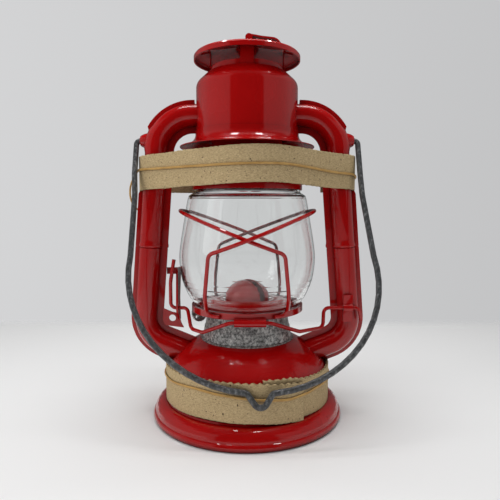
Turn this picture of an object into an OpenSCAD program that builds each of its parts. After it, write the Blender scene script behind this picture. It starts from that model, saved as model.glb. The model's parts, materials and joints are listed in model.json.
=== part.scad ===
// Hurricane lantern with a tubular frame, lifting globe, spring hood and packing strips.
// Millimetres. The origin is at the middle of the base, +Z is up and the front faces -Y.

/* [Fount and base] */
// Radius of the base skirt at its foot
base_r = 62.7; // [60:0.1:68]
// Height of the rolled foot round the base skirt
base_lip_h = 4.6; // [2.4:0.1:6]
// Outer radius of the fuel fount
fount_r = 52.5; // [51:0.1:54]
// Height of the flat land on top of the fount
fount_top_z = 50.5; // [48:0.1:53]
// Sheet metal thickness
sheet = 0.8; // [0.6:0.1:0.9]

/* [Burner] */
// Height of the burner collar above the fount
collar_h = 8.1; // [7:0.1:10]
// Height of the burner body above the collar
burner_h = 10.7; // [9:0.1:12]
// Radius of the flame dome
dome_r = 14.6; // [13:0.1:15]
// Height of the flame dome above the burner deck
dome_h = 19.9; // [18:0.1:21]
// Width of the flat wick
wick_w = 15; // [12:0.5:16]
// Thickness of the flat wick
wick_t = 2.2; // [1.6:0.1:2.4]
// Turn of the wick about the upright axis
wick_turn = -45; // [-60:1:-35]
// Distance of the wick wheel from the axis
wick_wheel_reach = 43.5; // [41:0.5:50]

/* [Globe] */
// Greatest outer radius of the glass globe
globe_r = 44.7; // [43:0.1:46]
// Height of the glass globe
globe_h = 79.1; // [76:0.1:84]
// Thickness of the glass
glass = 2; // [1.4:0.1:2.4]
// Travel of the globe when the lever lifts it
globe_lift = 12; // [8:0.5:13]

/* [Frame tubes] */
// Outer radius of the frame tubes
tube_r = 9.6; // [9:0.1:9.9]
// Width of the seam fin on the outer side of the tubes
fin_w = 2.2; // [1:0.1:2.4]
// Bend radius of the upper elbows, at the centre line
top_bend_r = 22.3; // [21:0.1:24]
// Bend radius of the lower elbows, at the centre line
low_bend_r = 17; // [15:0.5:18]

/* [Canopy and hood] */
// Outer radius of the canopy
canopy_r = 32.8; // [31.6:0.1:34]
// Height of the canopy from the lip of its bell to its mouth
canopy_h = 47; // [45:0.5:52]
// Room between the globe and the lip of the bell
bell_gap = 23.9; // [23.5:0.1:28]
// Outer radius of the bell lip
bell_r = 43.6; // [42:0.1:46]
// Outer radius of the chimney
chimney_r = 23.2; // [22:0.1:23.4]
// Radius of the hood
hood_r = 34.2; // [32:0.1:38]
// Gap between the canopy mouth and the hood rim
hood_gap = 7.8; // [6:0.1:10]

/* [Bail and wires] */
// Wire thickness of the bail
bail_d = 3.6; // [2.6:0.1:3.8]
// Length of the bail from its pivots to the tip of its notch
bail_len = 167.5; // [165:0.5:174]
// Half width of the bail at its widest
bail_half_w = 75; // [74:0.5:82]
// Angle of the resting bail in front of straight down
bail_tilt = 21.5; // [21:0.5:28]
// Sideways lean of the bail's notch
bail_lean = 8; // [0:0.2:9]
// Wire thickness of the guards and the lift lever
wire_d = 2.4; // [2:0.1:2.6]

/* [Packing] */
// Thickness of the card strips
card_t = 1.5; // [1:0.1:1.6]
// Height of the lower card strip
card_h = 23.2; // [20:0.2:23.6]
// Height of the upper card strip
upper_card_h = 21.7; // [19:0.1:23.6]
// Thickness of the rubber bands
band_t = 0.9; // [0.6:0.1:1]
// Height of the rubber bands
band_h = 1.6; // [1:0.1:2.4]

/* [Hidden] */
$fn = 64;

fit = 0.05;
run = 0.06;
part_gap = 0.3;
seat = 0.1;
lining = sheet - 0.1;
strap_t = 0.7;
wire_r = wire_d / 2;
bail_wire_r = bail_d / 2;

fount_land_r = 31;
fount_hole_r = 28;
fount_foot_z = 9.5;
dome_arc_r = 42;
dome_start = 70;
dome_c = [fount_land_r - dome_arc_r * cos(dome_start), fount_top_z - dome_arc_r * sin(dome_start)];
dome_stop = acos((fount_r - 1.3 - dome_c.x) / dome_arc_r);
side_z = dome_c.y + dome_arc_r * sin(dome_stop) - 2;

collar_z = fount_top_z + collar_h;
collar_neck_r = 24.5;
neck_low_z = fount_top_z - 4;
deck_z = collar_z + burner_h;
plate_z = deck_z + 0.2;
crank_z = plate_z + 2.5;

foot_r = 0.765 * globe_r;
neck_r = 0.781 * globe_r;
plate_r = foot_r + 2.7;
globe_z = plate_z + 2.9;
globe_top_z = globe_z + globe_h;
cap_r = neck_r + 0.4 + lining;
bell_z = globe_top_z + bell_gap;
floor_z = bell_z + 7.6;
bell_top_z = floor_z + 2.6;
floor_hole_r = chimney_r + seat + lining + 1.5 * part_gap;
mouth_z = bell_z + canopy_h;
mouth_r = chimney_r + 1.6;
hood_z = mouth_z + hood_gap;
hood_crown_z = hood_z + 10.8;
stack_top_z = mouth_z + 3.5;

top_z = bell_z + 19.4;
top_c = [canopy_r + 2.5, top_z - top_bend_r];
low_c = [fount_r - 3.5, fount_top_z + 13];
low_stop = -68;
centre_gap = top_c - low_c;
splay = atan2(centre_gap.y, centre_gap.x) - acos((low_bend_r - top_bend_r) / norm(centre_gap));
lean_dir = [cos(splay), sin(splay)];
top_t = top_c + top_bend_r * lean_dir;
low_t = low_c + low_bend_r * lean_dir;
joint_z = low_t.y + 0.42 * (top_t.y - low_t.y);
joint_at = [tube_x(joint_z), joint_z];
along_up = [-sin(splay), cos(splay)];
spigot_h = 8;
fin_t = 1.2;
low_end = low_c + low_bend_r * [cos(low_stop), sin(low_stop)];
stub_len = 27;
stub_at = low_end + stub_len * [sin(low_stop), -cos(low_stop)];
weld = 0.02;

pivot_z = top_c.y + 7.7;
ear_r = 5.2;
ear_tip_r = 3.2;
ear_rim = acos(ear_tip_r / ear_r);
ear_sink = 3.5;
ear_x = top_c.x + sqrt(pow(top_bend_r + tube_r, 2) - pow(pivot_z - top_c.y, 2));
ear_end = ear_x + 3.2;
ear_l = ear_end - ear_x + ear_sink;
arm_x = ear_end + bail_wire_r + 0.9;
bail_lean_from = 20;
bail_wide_at = bail_len - 77.5;
bail_drop = 68.5;

crank_y = -(tube_r + 0.45 + wire_r);
clip_x = tube_x(crank_z);
lug_y = -(plate_r + 1.1);
lug_z = plate_z - 1.2;
crank_low_z = collar_z + 0.7;
lug_w = 19;
lug_x = 2;
inner_x = clip_x - tube_r;
handle_gap = 4.8;
handle_x = -(globe_r + handle_gap);
bracket_x = handle_x + 4.4;
arm_len = norm([lug_y - crank_y, lug_z - crank_z]);
arm_dip = asin((crank_z - lug_z) / arm_len);
arm_rise = asin((globe_lift - (crank_z - lug_z)) / arm_len);
lever_turn = arm_dip + arm_rise;
lug_play = arm_len * (1 - min(cos(arm_dip), cos(arm_rise)));

flange_z = floor_z + sheet + part_gap;
spring_d = 1.4;
spring_r = chimney_r + 3.1;
spring_turns = 5.5;
spring_z0 = flange_z + sheet + seat + spring_d / 2;
spring_z1 = mouth_z - 3.9;

filler_y = fount_r - 11.5;
filler_r = 7;
filler_cap_r = 8.8;
filler_top_z = fount_top_z + 5.5;

spindle_z = collar_z + 2.6;
spindle_r = 1;
sprocket_r = 4.3;
spindle_y = wick_t / 2 + 0.2 + sprocket_r;
wick_case = wick_t / 2 + 0.15;
wick_tube_top = deck_z + 11.2;
wick_top = wick_tube_top + 1.5;
wick_bottom = fount_foot_z + 14.5;

card_z = fount_foot_z + 4.4;
card_r = fount_r + part_gap + card_t / 2;
card_step = card_t + 0.15;
card_start = 10;
card_end = 397;
band_low_z = card_z + card_h * 0.6;
upper_card_z = globe_top_z - 1.3;
fin_end_z = upper_card_z - 1.2;
upper_band_z = upper_card_z + upper_card_h / 2 - band_h / 2;
bow_r = 0.906 * globe_r + card_t / 2;
card_x = tube_x(upper_card_z);
wrap_r = tube_r + 0.15 + card_t / 2;
wrap_a = 90 - asin((bow_r - wrap_r) / card_x);

// Distance of the tube centre line from the middle at a height
function tube_x(z) = top_t.x + (top_t.y - z) * tan(splay);

// Directions, corner rounding and offsets of outlines
function unit(v) = v / norm(v);
function heading(p, i) = unit(p[i + 1] - p[i]);
function turn(p, i) = acos(max(-1, min(1, heading(p, i - 1) * heading(p, i))));
function bend_in(p, i) = unit(heading(p, i) - heading(p, i - 1));
function corner(p, r, i, n) = let (
        w = turn(p, i),
        c = p[i] + bend_in(p, i) * (r[i] / cos(w / 2)),
        u = heading(p, i - 1),
        s = p[i] - u * r[i] * tan(w / 2),
        v = s - c)
    [for (k = [0 : n]) c + v * cos(w * k / n) + u * r[i] * sin(w * k / n)];
function rounded(p, r, n) = [for (i = [0 : len(p) - 1]) each
        (i == 0 || i == len(p) - 1 || r[i] == 0) ? [p[i]] : corner(p, r, i, n)];
function right(d) = [d.y, -d.x];
function side(p, i) = i == 0 ? right(heading(p, 0)) :
        i == len(p) - 1 ? right(heading(p, i - 1)) :
        unit(right(heading(p, i - 1)) + right(heading(p, i)));
function mitre(p, i) = i == 0 || i == len(p) - 1 ? 1 : side(p, i) * right(heading(p, i));
function shifted(p, t) = [for (i = [0 : len(p) - 1])
        let (q = p[i] + side(p, i) * t / mitre(p, i)) abs(p[i].x) < 0.001 ? [0, q.y] : q];
function reversed(p) = [for (i = [len(p) - 1 : -1 : 0]) p[i]];
function ribbon(p, t) = concat(shifted(p, -t / 2), reversed(shifted(p, t / 2)));
function arc(c, rx, ry, a0, a1, n) = [for (k = [0 : n])
        let (a = a0 + (a1 - a0) * k / n) [c.x + rx * cos(a), c.y + ry * sin(a)]];
function ease(t) = let (u = max(0, min(1, t))) u * u * (3 - 2 * u);
function knot(p, i) = p[max(0, min(len(p) - 1, i))];
function curve(p, n) = concat([for (i = [0 : len(p) - 2]) for (k = [0 : n - 1]) let (
        t = k / n, a = knot(p, i - 1), b = p[i], c = p[i + 1], d = knot(p, i + 2))
        0.5 * (2 * b + (c - a) * t + (2 * a - 5 * b + 4 * c - d) * t * t
        + (3 * b - a - 3 * c + d) * t * t * t)], [p[len(p) - 1]]);

// Wires as one swept tube
function tangent(p, i) = i == 0 ? heading(p, 0) : i == len(p) - 1 ? heading(p, i - 1) :
        unit(heading(p, i - 1) + heading(p, i));
function square_to(v, t) = unit(v - t * (v * t));
function carried(p, v, i = 0, out = []) = i == len(p) ? out :
        let (w = square_to(v, tangent(p, i))) carried(p, w, i + 1, concat(out, [w]));
module swept(p, r, n, v) {
    w = carried(p, v);
    last = len(p) - 1;
    polyhedron(
        points = [for (i = [0 : last]) for (k = [0 : n - 1])
            let (a = 360 * k / n) p[i] + r * (cos(a) * w[i] + sin(a) * cross(tangent(p, i), w[i]))],
        faces = concat(
            [[for (k = [0 : n - 1]) k]],
            [for (i = [0 : last - 1]) for (k = [0 : n - 1]) let (m = (k + 1) % n)
                [i * n + k, (i + 1) * n + k, (i + 1) * n + m, i * n + m]],
            [[for (k = [n - 1 : -1 : 0]) last * n + k]]));
}
module rod(a, b, r) {
    v = b - a;
    translate(a)
        rotate([0, acos(v.z / norm(v)), atan2(v.y, v.x)])
            cylinder(h = norm(v), r = r);
}

// Turned sheet metal along an outline, with the metal on the right of its way
module shell(p, t) {
    rotate_extrude() polygon(concat(p, reversed(shifted(p, t))));
}

// Outlines
fount_line = concat([[fount_hole_r, fount_top_z]],
    arc(dome_c, dome_arc_r, dome_arc_r, dome_start, dome_stop, 10),
    [[fount_r - 0.4, side_z + 0.9], [fount_r, side_z], [fount_r, fount_foot_z]]);
skirt_in = fount_r + seat + sheet;
roll_t = 1.6;
skirt_line = concat([[skirt_in, fount_foot_z + 3.7]],
    arc([skirt_in + 0.5, base_lip_h + 0.2], base_r - skirt_in - roll_t - 0.2,
        fount_foot_z - base_lip_h + 2.3, 90, 0, 10),
    arc([base_r - roll_t, base_lip_h / 2], roll_t, base_lip_h / 2, 78, -45, 8),
    [[base_r - 0.9, 0], [base_r - 2.9, 0]]);
hood_line = [[0, hood_crown_z], [4, hood_crown_z - 0.1], [hood_r - 4.2, hood_z + 4.4],
    [hood_r - 0.8, hood_z + 3.4], [hood_r, hood_z + 2.4], [hood_r, hood_z]];
hood_slope = (hood_line[1].y - hood_line[2].y) / (hood_line[2].x - hood_line[1].x);
globe_line = [for (q = curve([[foot_r, 0], [0.814 * globe_r, 0.044], [0.881 * globe_r, 0.104],
    [0.964 * globe_r, 0.222], [globe_r, 0.368], [0.989 * globe_r, 0.494], [0.928 * globe_r, 0.703],
    [0.870 * globe_r, 0.886], [0.830 * globe_r, 0.920], [neck_r + 0.2, 0.936], [neck_r, 0.96],
    [neck_r, 1]], 3)) [q.x, globe_z + globe_h * q.y]];

module fount_solid(grow) {
    rotate_extrude()
        polygon(concat([[0, 0], [0, fount_top_z + grow]], shifted(fount_line, -grow), [[fount_r + grow, 0]]));
}
module fount_shell() {
    color("firebrick")
        difference() {
            shell(fount_line, sheet);
            translate([0, filler_y, fount_top_z - 20]) cylinder(h = 30, r = filler_r + fit);
            for (s = [0, 1]) mirror([s, 0, 0]) stub(tube_r - sheet - 1);
        }
}
module base_skirt() {
    color("firebrick") shell(skirt_line, sheet);
}
module fount_bottom() {
    r = fount_r - sheet - fit;
    z = fount_foot_z + 0.5;
    color("firebrick")
        rotate_extrude()
            polygon([[0, z], [r, z], [r, z + 4], [r - sheet, z + 4], [r - sheet, z + sheet], [0, z + sheet]]);
}
module tank_top() {
    r = fount_r - sheet - fit;
    neck = collar_neck_r + 2 * lining + seat;
    color("silver")
        difference() {
            shell([[neck, neck_low_z], [neck, side_z + 1], [r, side_z - 1], [r, side_z - 5]], lining);
            translate([0, filler_y, side_z - 8]) cylinder(h = 20, r = filler_r + fit);
        }
}

// Burner
module burner_collar() {
    color("silver")
        shell([[collar_neck_r, neck_low_z], [collar_neck_r, collar_z], [collar_neck_r + 4, collar_z],
            [fount_land_r - 1.4, fount_top_z + lining + 0.4],
            [fount_land_r, fount_top_z + lining + fit]], lining);
}
module burner_body() {
    r = collar_neck_r - fit - lining;
    z = collar_z + fit + lining;
    color("silver")
        difference() {
            shell([[r, neck_low_z + 2], [r, z], [r + 3.6, z], [r + 1.9, deck_z - lining],
                [dome_r + 1, deck_z - lining]], lining);
            wick_axis() rod([-wick_wheel_reach, 0, 0], [0, 0, 0], spindle_r + run);
        }
}
module burner_dome() {
    z = deck_z + fit;
    r = dome_r - lining;
    rise = dome_h - lining - 8;
    slot_w = wick_t + 2.6;
    color("firebrick")
        difference() {
            shell(concat([[dome_r + 2.2, z], [r + 0.3, z]], arc([0, z + 8], r, rise, 0, 90, 12)), lining);
            rotate([0, 0, wick_turn])
                translate([0, 0, z + 9])
                    rotate([90, 0, 90])
                        linear_extrude(height = 2 * dome_r + 4, center = true) {
                            translate([-slot_w / 2, 0]) square([slot_w, dome_h]);
                            circle(d = slot_w);
                        }
        }
}
module wick_slab(w, t, z0, z1) {
    rotate([0, 0, wick_turn])
        translate([-w / 2, -t / 2, z0])
            cube([w, t, z1 - z0]);
}
module wick_axis() {
    rotate([0, 0, wick_turn]) translate([0, -spindle_y, spindle_z]) children();
}
module wick_tube() {
    w = wick_w + 0.3;
    wall = 0.4;
    ear_y = wick_case + wall;
    color("silver")
        difference() {
            union() {
                wick_slab(w + 2 * wall, 2 * ear_y, collar_z - 5, wick_tube_top);
                translate([0, 0, collar_z - 3.6]) cylinder(h = lining, r = collar_neck_r - lining - 2 * fit);
                rotate([0, 0, wick_turn])
                    for (x = [-7, 6])
                        translate([x, -spindle_y - 2, spindle_z - 2])
                            cube([1, spindle_y + 2.2 - ear_y, 4]);
            }
            wick_slab(w, 2 * wick_case, collar_z - 6, wick_tube_top + 1);
            wick_axis() rod([-12, 0, 0], [12, 0, 0], spindle_r + run);
            wick_axis()
                for (x = [-4, 4])
                    rod([x - 0.8, 0, 0], [x + 0.8, 0, 0], sprocket_r + 0.35);
        }
}
module wick() {
    color("dimgray") wick_slab(wick_w, wick_t, wick_bottom, wick_top);
}
module wick_spindle() {
    color("silver") wick_axis() rod([-wick_wheel_reach + 1, 0, 0], [8.5, 0, 0], spindle_r);
}
module wick_sprockets() {
    color("silver")
        wick_axis()
            difference() {
                union() {
                    rod([-4, 0, 0], [4, 0, 0], spindle_r + 0.8);
                    for (x = [-4, 4]) rod([x - 0.5, 0, 0], [x + 0.5, 0, 0], sprocket_r);
                }
                rod([-6, 0, 0], [6, 0, 0], spindle_r + fit);
                for (x = [-4, 4])
                    for (a = [0 : 45 : 315])
                        translate([x, (sprocket_r + 0.4) * cos(a), (sprocket_r + 0.4) * sin(a)])
                            rotate([0, 90, 0]) cylinder(h = 2, r = 1.1, center = true);
            }
}
module wick_wheel() {
    color("silver")
        wick_axis()
            translate([-wick_wheel_reach, 0, 0])
                difference() {
                    union() {
                        rod([-0.8, 0, 0], [0.8, 0, 0], 7);
                        rod([-1.6, 0, 0], [3, 0, 0], 2.2);
                    }
                    rod([-0.5, 0, 0], [4, 0, 0], spindle_r + fit);
                    for (a = [0 : 15 : 345])
                        translate([0, 7.3 * cos(a), 7.3 * sin(a)])
                            rotate([0, 90, 0]) cylinder(h = 3, r = 0.55, center = true);
                    for (a = [45 : 90 : 315])
                        translate([0, 4.5 * cos(a), 4.5 * sin(a)])
                            rotate([0, 90, 0]) cylinder(h = 3, r = 1.3, center = true);
                }
}

// Filler
module filler_neck() {
    color("firebrick")
        difference() {
            translate([0, filler_y, 0])
                union() {
                    translate([0, 0, side_z - 3]) cylinder(h = filler_top_z - side_z + 3, r = filler_r);
                    difference() {
                        translate([0, 0, side_z])
                            cylinder(h = fount_top_z - 0.8 - side_z, r = filler_r + 1.6);
                        translate([0, -filler_y, 0]) fount_solid(fit);
                    }
                }
            translate([0, filler_y, side_z - 4]) cylinder(h = filler_top_z - side_z + 5, r = filler_r - 0.8);
        }
}
module filler_gasket() {
    color("black")
        translate([0, filler_y, filler_top_z + seat])
            difference() {
                cylinder(h = 1, r = filler_r - 0.1);
                translate([0, 0, -1]) cylinder(h = 3, r = filler_r - 2);
            }
}
module filler_cap() {
    top = filler_top_z + seat + 1 + part_gap;
    foot = fount_top_z + 0.6;
    color("firebrick")
        translate([0, filler_y, 0])
            difference() {
                union() {
                    translate([0, 0, foot]) cylinder(h = top + 1.2 - foot, r = filler_cap_r);
                    translate([0, 0, top + 0.6]) cylinder(h = 1.4, r = filler_cap_r - 2);
                }
                translate([0, 0, fount_top_z]) cylinder(h = top - fount_top_z, r = filler_r + 0.1);
                for (a = [0 : 18 : 342])
                    rotate([0, 0, a])
                        translate([filler_cap_r + 0.25, 0, fount_top_z])
                            cylinder(h = 12, r = 0.6);
            }
}

// Frame tubes
module straight_run(a, at, l, r) {
    translate([at.x, 0, at.y]) rotate([0, -a, 0]) cylinder(h = l, r = r);
}
module elbow_run(c, bend, a0, a1, r) {
    translate([c.x, 0, c.y])
        rotate([90, 0, 0])
            rotate([0, 0, a0])
                rotate_extrude(angle = a1 - a0) translate([bend, 0]) circle(r = r);
}
module pipe(a, at, l, r, wall) {
    translate([at.x, 0, at.y])
        rotate([0, -a, 0])
            rotate_extrude() translate([r - wall, 0]) square([wall, l]);
}
module pipe_fin(a, at, l) {
    translate([at.x, 0, at.y])
        rotate([0, -a, 0])
            translate([tube_r - sheet / 2, -fin_t / 2, 0]) cube([fin_w + sheet / 2, fin_t, l]);
}
module pipe_elbow(c, bend, a0, a1) {
    translate([c.x, 0, c.y])
        rotate([90, 0, 0])
            rotate([0, 0, a0])
                rotate_extrude(angle = a1 - a0)
                    translate([bend, 0])
                        difference() {
                            circle(r = tube_r);
                            circle(r = tube_r - sheet);
                        }
}
module elbow_fin(c, bend, a0, a1) {
    translate([c.x, 0, c.y])
        rotate([90, 0, 0])
            rotate([0, 0, a0])
                rotate_extrude(angle = a1 - a0)
                    translate([bend + tube_r - sheet / 2, -fin_t / 2]) square([fin_w + sheet / 2, fin_t]);
}
module joint_ring(a, at) {
    translate([at.x, 0, at.y])
        rotate([0, -a, 0])
            translate([0, 0, -1])
                rotate_extrude() translate([tube_r - 1.5 * sheet, 0]) square([sheet, 2]);
}
module stub(r) {
    straight_run(low_stop, stub_at, stub_len, r);
}
module tube_upper() {
    foot = joint_at + seat * along_up;
    run_len = norm(top_t - foot);
    fin_from = asin((pivot_z - top_c.y + ear_r + 0.2) / (top_bend_r + tube_r));
    color("firebrick")
        difference() {
            union() {
                pipe(splay, foot, run_len - weld, tube_r, sheet);
                pipe_fin(splay, foot, (fin_end_z - foot.y) / cos(splay));
                joint_ring(splay, top_t);
                pipe_elbow(top_c, top_bend_r, splay, 90);
                elbow_fin(top_c, top_bend_r, fin_from, 89);
                joint_ring(90, [top_c.x, top_z]);
                pipe(90, [top_c.x - weld, top_z], 9, tube_r, sheet);
                translate([canopy_r - 4, 0, top_z])
                    rotate([0, 90, 0])
                        rotate_extrude() translate([tube_r - sheet / 2, 0]) square([sheet / 2 + 1.5, 5]);
            }
            translate([0, 0, bell_z]) cylinder(h = canopy_h, r = canopy_r + fit);
            translate([0, 0, bell_z])
                cylinder(h = bell_top_z + seat - bell_z, r = canopy_r + 2 * fit + lining);
        }
}
module tube_lower() {
    run_len = norm(joint_at - low_t);
    color("firebrick")
        difference() {
            union() {
                pipe(splay, low_t + weld * along_up, run_len - weld, tube_r, sheet);
                pipe_fin(splay, low_t + weld * along_up, run_len - weld);
                joint_ring(splay, low_t);
                pipe_elbow(low_c, low_bend_r, low_stop, splay);
                elbow_fin(low_c, low_bend_r, low_stop, splay);
                joint_ring(low_stop, low_end);
                pipe(low_stop, stub_at, stub_len - weld, tube_r, sheet);
                pipe_fin(low_stop, stub_at, stub_len - weld);
                joint_ring(splay, joint_at - 2 * along_up);
                pipe(splay, joint_at - 3.2 * along_up, spigot_h, tube_r - sheet - fit, sheet - fit);
            }
            fount_solid(fit);
            translate([0, 0, fount_top_z - 4]) cylinder(h = collar_h + 6, r = fount_land_r + part_gap);
        }
}
module tube_upper_right() { tube_upper(); }
module tube_upper_left() { mirror([1, 0, 0]) tube_upper(); }
module tube_lower_right() { tube_lower(); }
module tube_lower_left() { mirror([1, 0, 0]) tube_lower(); }
module bail_ear() {
    $fn = 180;
    dome = arc([0, 0], ear_r, ear_l / sin(ear_rim), 0, ear_rim, 8);
    color("firebrick")
        difference() {
            translate([ear_x - ear_sink, 0, pivot_z])
                rotate([0, 90, 0])
                    rotate_extrude() polygon(concat([[0, 0]], dome, [[0, ear_l]]));
            elbow_run(top_c, top_bend_r, -10, 60, tube_r + fit);
            rod([ear_x + 0.5, 0, pivot_z], [ear_end + 1, 0, pivot_z], bail_wire_r + run);
        }
}
module bail_ear_right() { bail_ear(); }
module bail_ear_left() { mirror([1, 0, 0]) bail_ear(); }

// Canopy
module canopy() {
    z = mouth_z;
    color("firebrick")
        difference() {
            shell(concat([[mouth_r, z - 0.8], [mouth_r + 0.8, z - 0.2]],
                arc([canopy_r - 6, z - 9.5], 6, 6, 50, 0, 6), [[canopy_r, floor_z - 0.5]]), sheet);
            rod([-canopy_r - 5, 0, top_z], [canopy_r + 5, 0, top_z], tube_r - sheet);
        }
}
module canopy_bell() {
    r = canopy_r + fit + lining;
    rise = floor_z + 1 - bell_z;
    color("firebrick")
        shell(concat([[r, bell_top_z]],
            arc([bell_r - 0.3, floor_z + 0.6], bell_r - 0.3 - r, rise - 1.2, 180, 262, 9),
            [[bell_r, bell_z + 0.4], [bell_r, bell_z]]), lining);
}
module canopy_floor() {
    r = canopy_r - sheet - fit;
    color("firebrick")
        rotate_extrude()
            polygon([[floor_hole_r, floor_z], [r, floor_z], [r, floor_z + 2.4], [r - sheet, floor_z + 2.4],
                [r - sheet, floor_z + sheet], [floor_hole_r, floor_z + sheet]]);
}
spring_path = [for (k = [0 : 12 * spring_turns]) let (t = k / (12 * spring_turns), a = 30 * k)
    [spring_r * cos(a), spring_r * sin(a), spring_z0 + (spring_z1 - spring_z0) * t]];
spring_gap = min([for (k = [0 : len(spring_path) - 13]) for (j = [9 : 12])
    norm(spring_path[k + j] - spring_path[k])]) - spring_d;
echo(spring_gap = spring_gap, lever_turn = lever_turn);
module chimney_spring() {
    color("gray") swept(spring_path, spring_d / 2, 6, [0, 0, 1]);
}

// Chimney and hood
module chimney() {
    t = sheet - 0.2;
    color("firebrick") {
        difference() {
            translate([0, 0, globe_top_z + 5.5]) cylinder(h = stack_top_z - globe_top_z - 5.5, r = chimney_r);
            translate([0, 0, globe_top_z]) cylinder(h = stack_top_z - globe_top_z + 1, r = chimney_r - t);
        }
        difference() {
            translate([0, 0, flange_z]) cylinder(h = sheet, r = spring_r + 2);
            translate([0, 0, flange_z - 1]) cylinder(h = 3, r = chimney_r - t / 2);
        }
    }
}
module globe_cap() {
    r = chimney_r + seat + lining;
    z = globe_top_z;
    color("firebrick")
        shell([[r, z + 12], [r, z + 6.1], [r + 2.5, z + 4.9], [cap_r - 1.4, z + 1.8], [cap_r, z + 0.9],
            [cap_r, z - 3.3]], lining);
}
module hood() {
    color("firebrick") shell(hood_line, sheet);
}
module under_hood(drop) {
    above = hood_crown_z + 20;
    translate([0, 0, -drop])
        rotate_extrude()
            polygon(concat(shifted(hood_line, sheet), [[hood_r - sheet, above], [0, above]]));
}
module hood_strap() {
    r = chimney_r + fit;
    color("firebrick") {
        difference() {
            translate([0, 0, stack_top_z - 14])
                rotate([0, 0, -10])
                    rotate_extrude(angle = 20)
                        translate([r, 0]) square([strap_t, hood_crown_z - stack_top_z + 14]);
            under_hood(fit);
        }
        difference() {
            intersection() {
                rotate([0, 0, -10])
                    rotate_extrude(angle = 20)
                        translate([r, stack_top_z]) square([6, hood_crown_z - stack_top_z]);
                under_hood(fit + strap_t);
            }
            under_hood(fit);
        }
    }
}
module hood_strap_right() { hood_strap(); }
module hood_strap_back() { rotate([0, 0, 90]) hood_strap(); }
module hood_strap_left() { rotate([0, 0, 180]) hood_strap(); }
module hood_strap_front() { rotate([0, 0, 270]) hood_strap(); }
module hood_tab() {
    t = 1;
    z0 = hood_line[1].y + hood_slope * hood_line[1].x + t / 2 + fit;
    x1 = hood_line[2].x - 1;
    x2 = x1 - 5;
    line = rounded([[x1, z0 - hood_slope * x1], [x2, z0 - hood_slope * x2], [19, hood_crown_z + 2.8],
        [9, hood_crown_z + 3.9], [2.6, hood_crown_z + 5.1]], [0, 3, 6, 6, 0], 5);
    color("firebrick")
        rotate([90, 0, 0]) {
            linear_extrude(height = 9, center = true) polygon(ribbon(line, t));
            translate([1.2, hood_crown_z + 3.7]) cylinder(h = 9, r = 2.3, center = true);
        }
}

// Bail
function lean_at(l) = bail_lean * max(0, l - bail_lean_from) / (bail_len - bail_lean_from);
module bail() {
    down = [0, -sin(bail_tilt), -cos(bail_tilt)];
    loop = arc([0, bail_wide_at], bail_half_w, bail_drop, -10, 83, 14);
    half = concat([[arm_x, 0], [arm_x, 24], [arm_x - 0.4, 38]], loop,
        [[7.4, bail_len - 9.3], [0, bail_len + 1.4]]);
    bends = concat([2.6, 30, 60], [for (q = loop) 0], [3, 4]);
    last = len(half) - 2;
    both = concat([[ear_x + 1.2, 0]], half,
        [for (k = [last : -1 : 0]) [-half[k].x, half[k].y]], [[-ear_x - 1.2, 0]]);
    radii = concat([0], bends, [for (k = [last : -1 : 0]) bends[k]], [0]);
    path = rounded([for (q = both) [q.x + lean_at(q.y), 0, pivot_z] + down * q.y], radii, 10);
    inner = ear_x + 1;
    color("gray") {
        swept([for (k = [1 : len(path) - 2]) path[k]], bail_wire_r - 0.02, 12, [0, 0, 1]);
        for (s = [-1, 1]) rod([s * inner, 0, pivot_z], [s * (arm_x - 2), 0, pivot_z], bail_wire_r);
    }
}

// Globe carriage
module globe() {
    color("white", 0.4)
        rotate_extrude()
            polygon(concat(globe_line, reversed(shifted(globe_line, -glass))));
}
module lug_slot(r, w) {
    translate([lug_x, lug_y, lug_z])
        rotate([0, 90, 0]) {
            cylinder(h = w, r = r, center = true);
            translate([0, lug_play, 0]) cylinder(h = w, r = r, center = true);
            translate([0, -lug_play, 0]) cylinder(h = w, r = r, center = true);
            cube([2 * r, 2 * lug_play, w], center = true);
        }
}
module globe_plate() {
    z = plate_z;
    inner = dome_r + 2;
    color("firebrick")
        difference() {
            union() {
                shell([[inner, z + 7.4], [inner + 1.6, z + 7.6], [inner + 6.4, z + 6.8],
                    [inner + 7.8, z + 5.7], [foot_r - 4.6, z + 4.7], [foot_r - 3.4, z + 2.7],
                    [foot_r + 0.4, z + 2.6], [foot_r + 0.8, z + 4], [plate_r, z + 3.8], [plate_r, z]], sheet);
                lug_slot(wire_r + 1, lug_w);
                difference() {
                    translate([lug_x - lug_w / 2, lug_y - 0.6, lug_z]) cube([lug_w, 5, 2.6]);
                    translate([0, 0, lug_z - 1]) cylinder(h = 5, r = plate_r - sheet / 2);
                }
            }
            lug_slot(wire_r + 0.2, lug_w + 4);
        }
}
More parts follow.
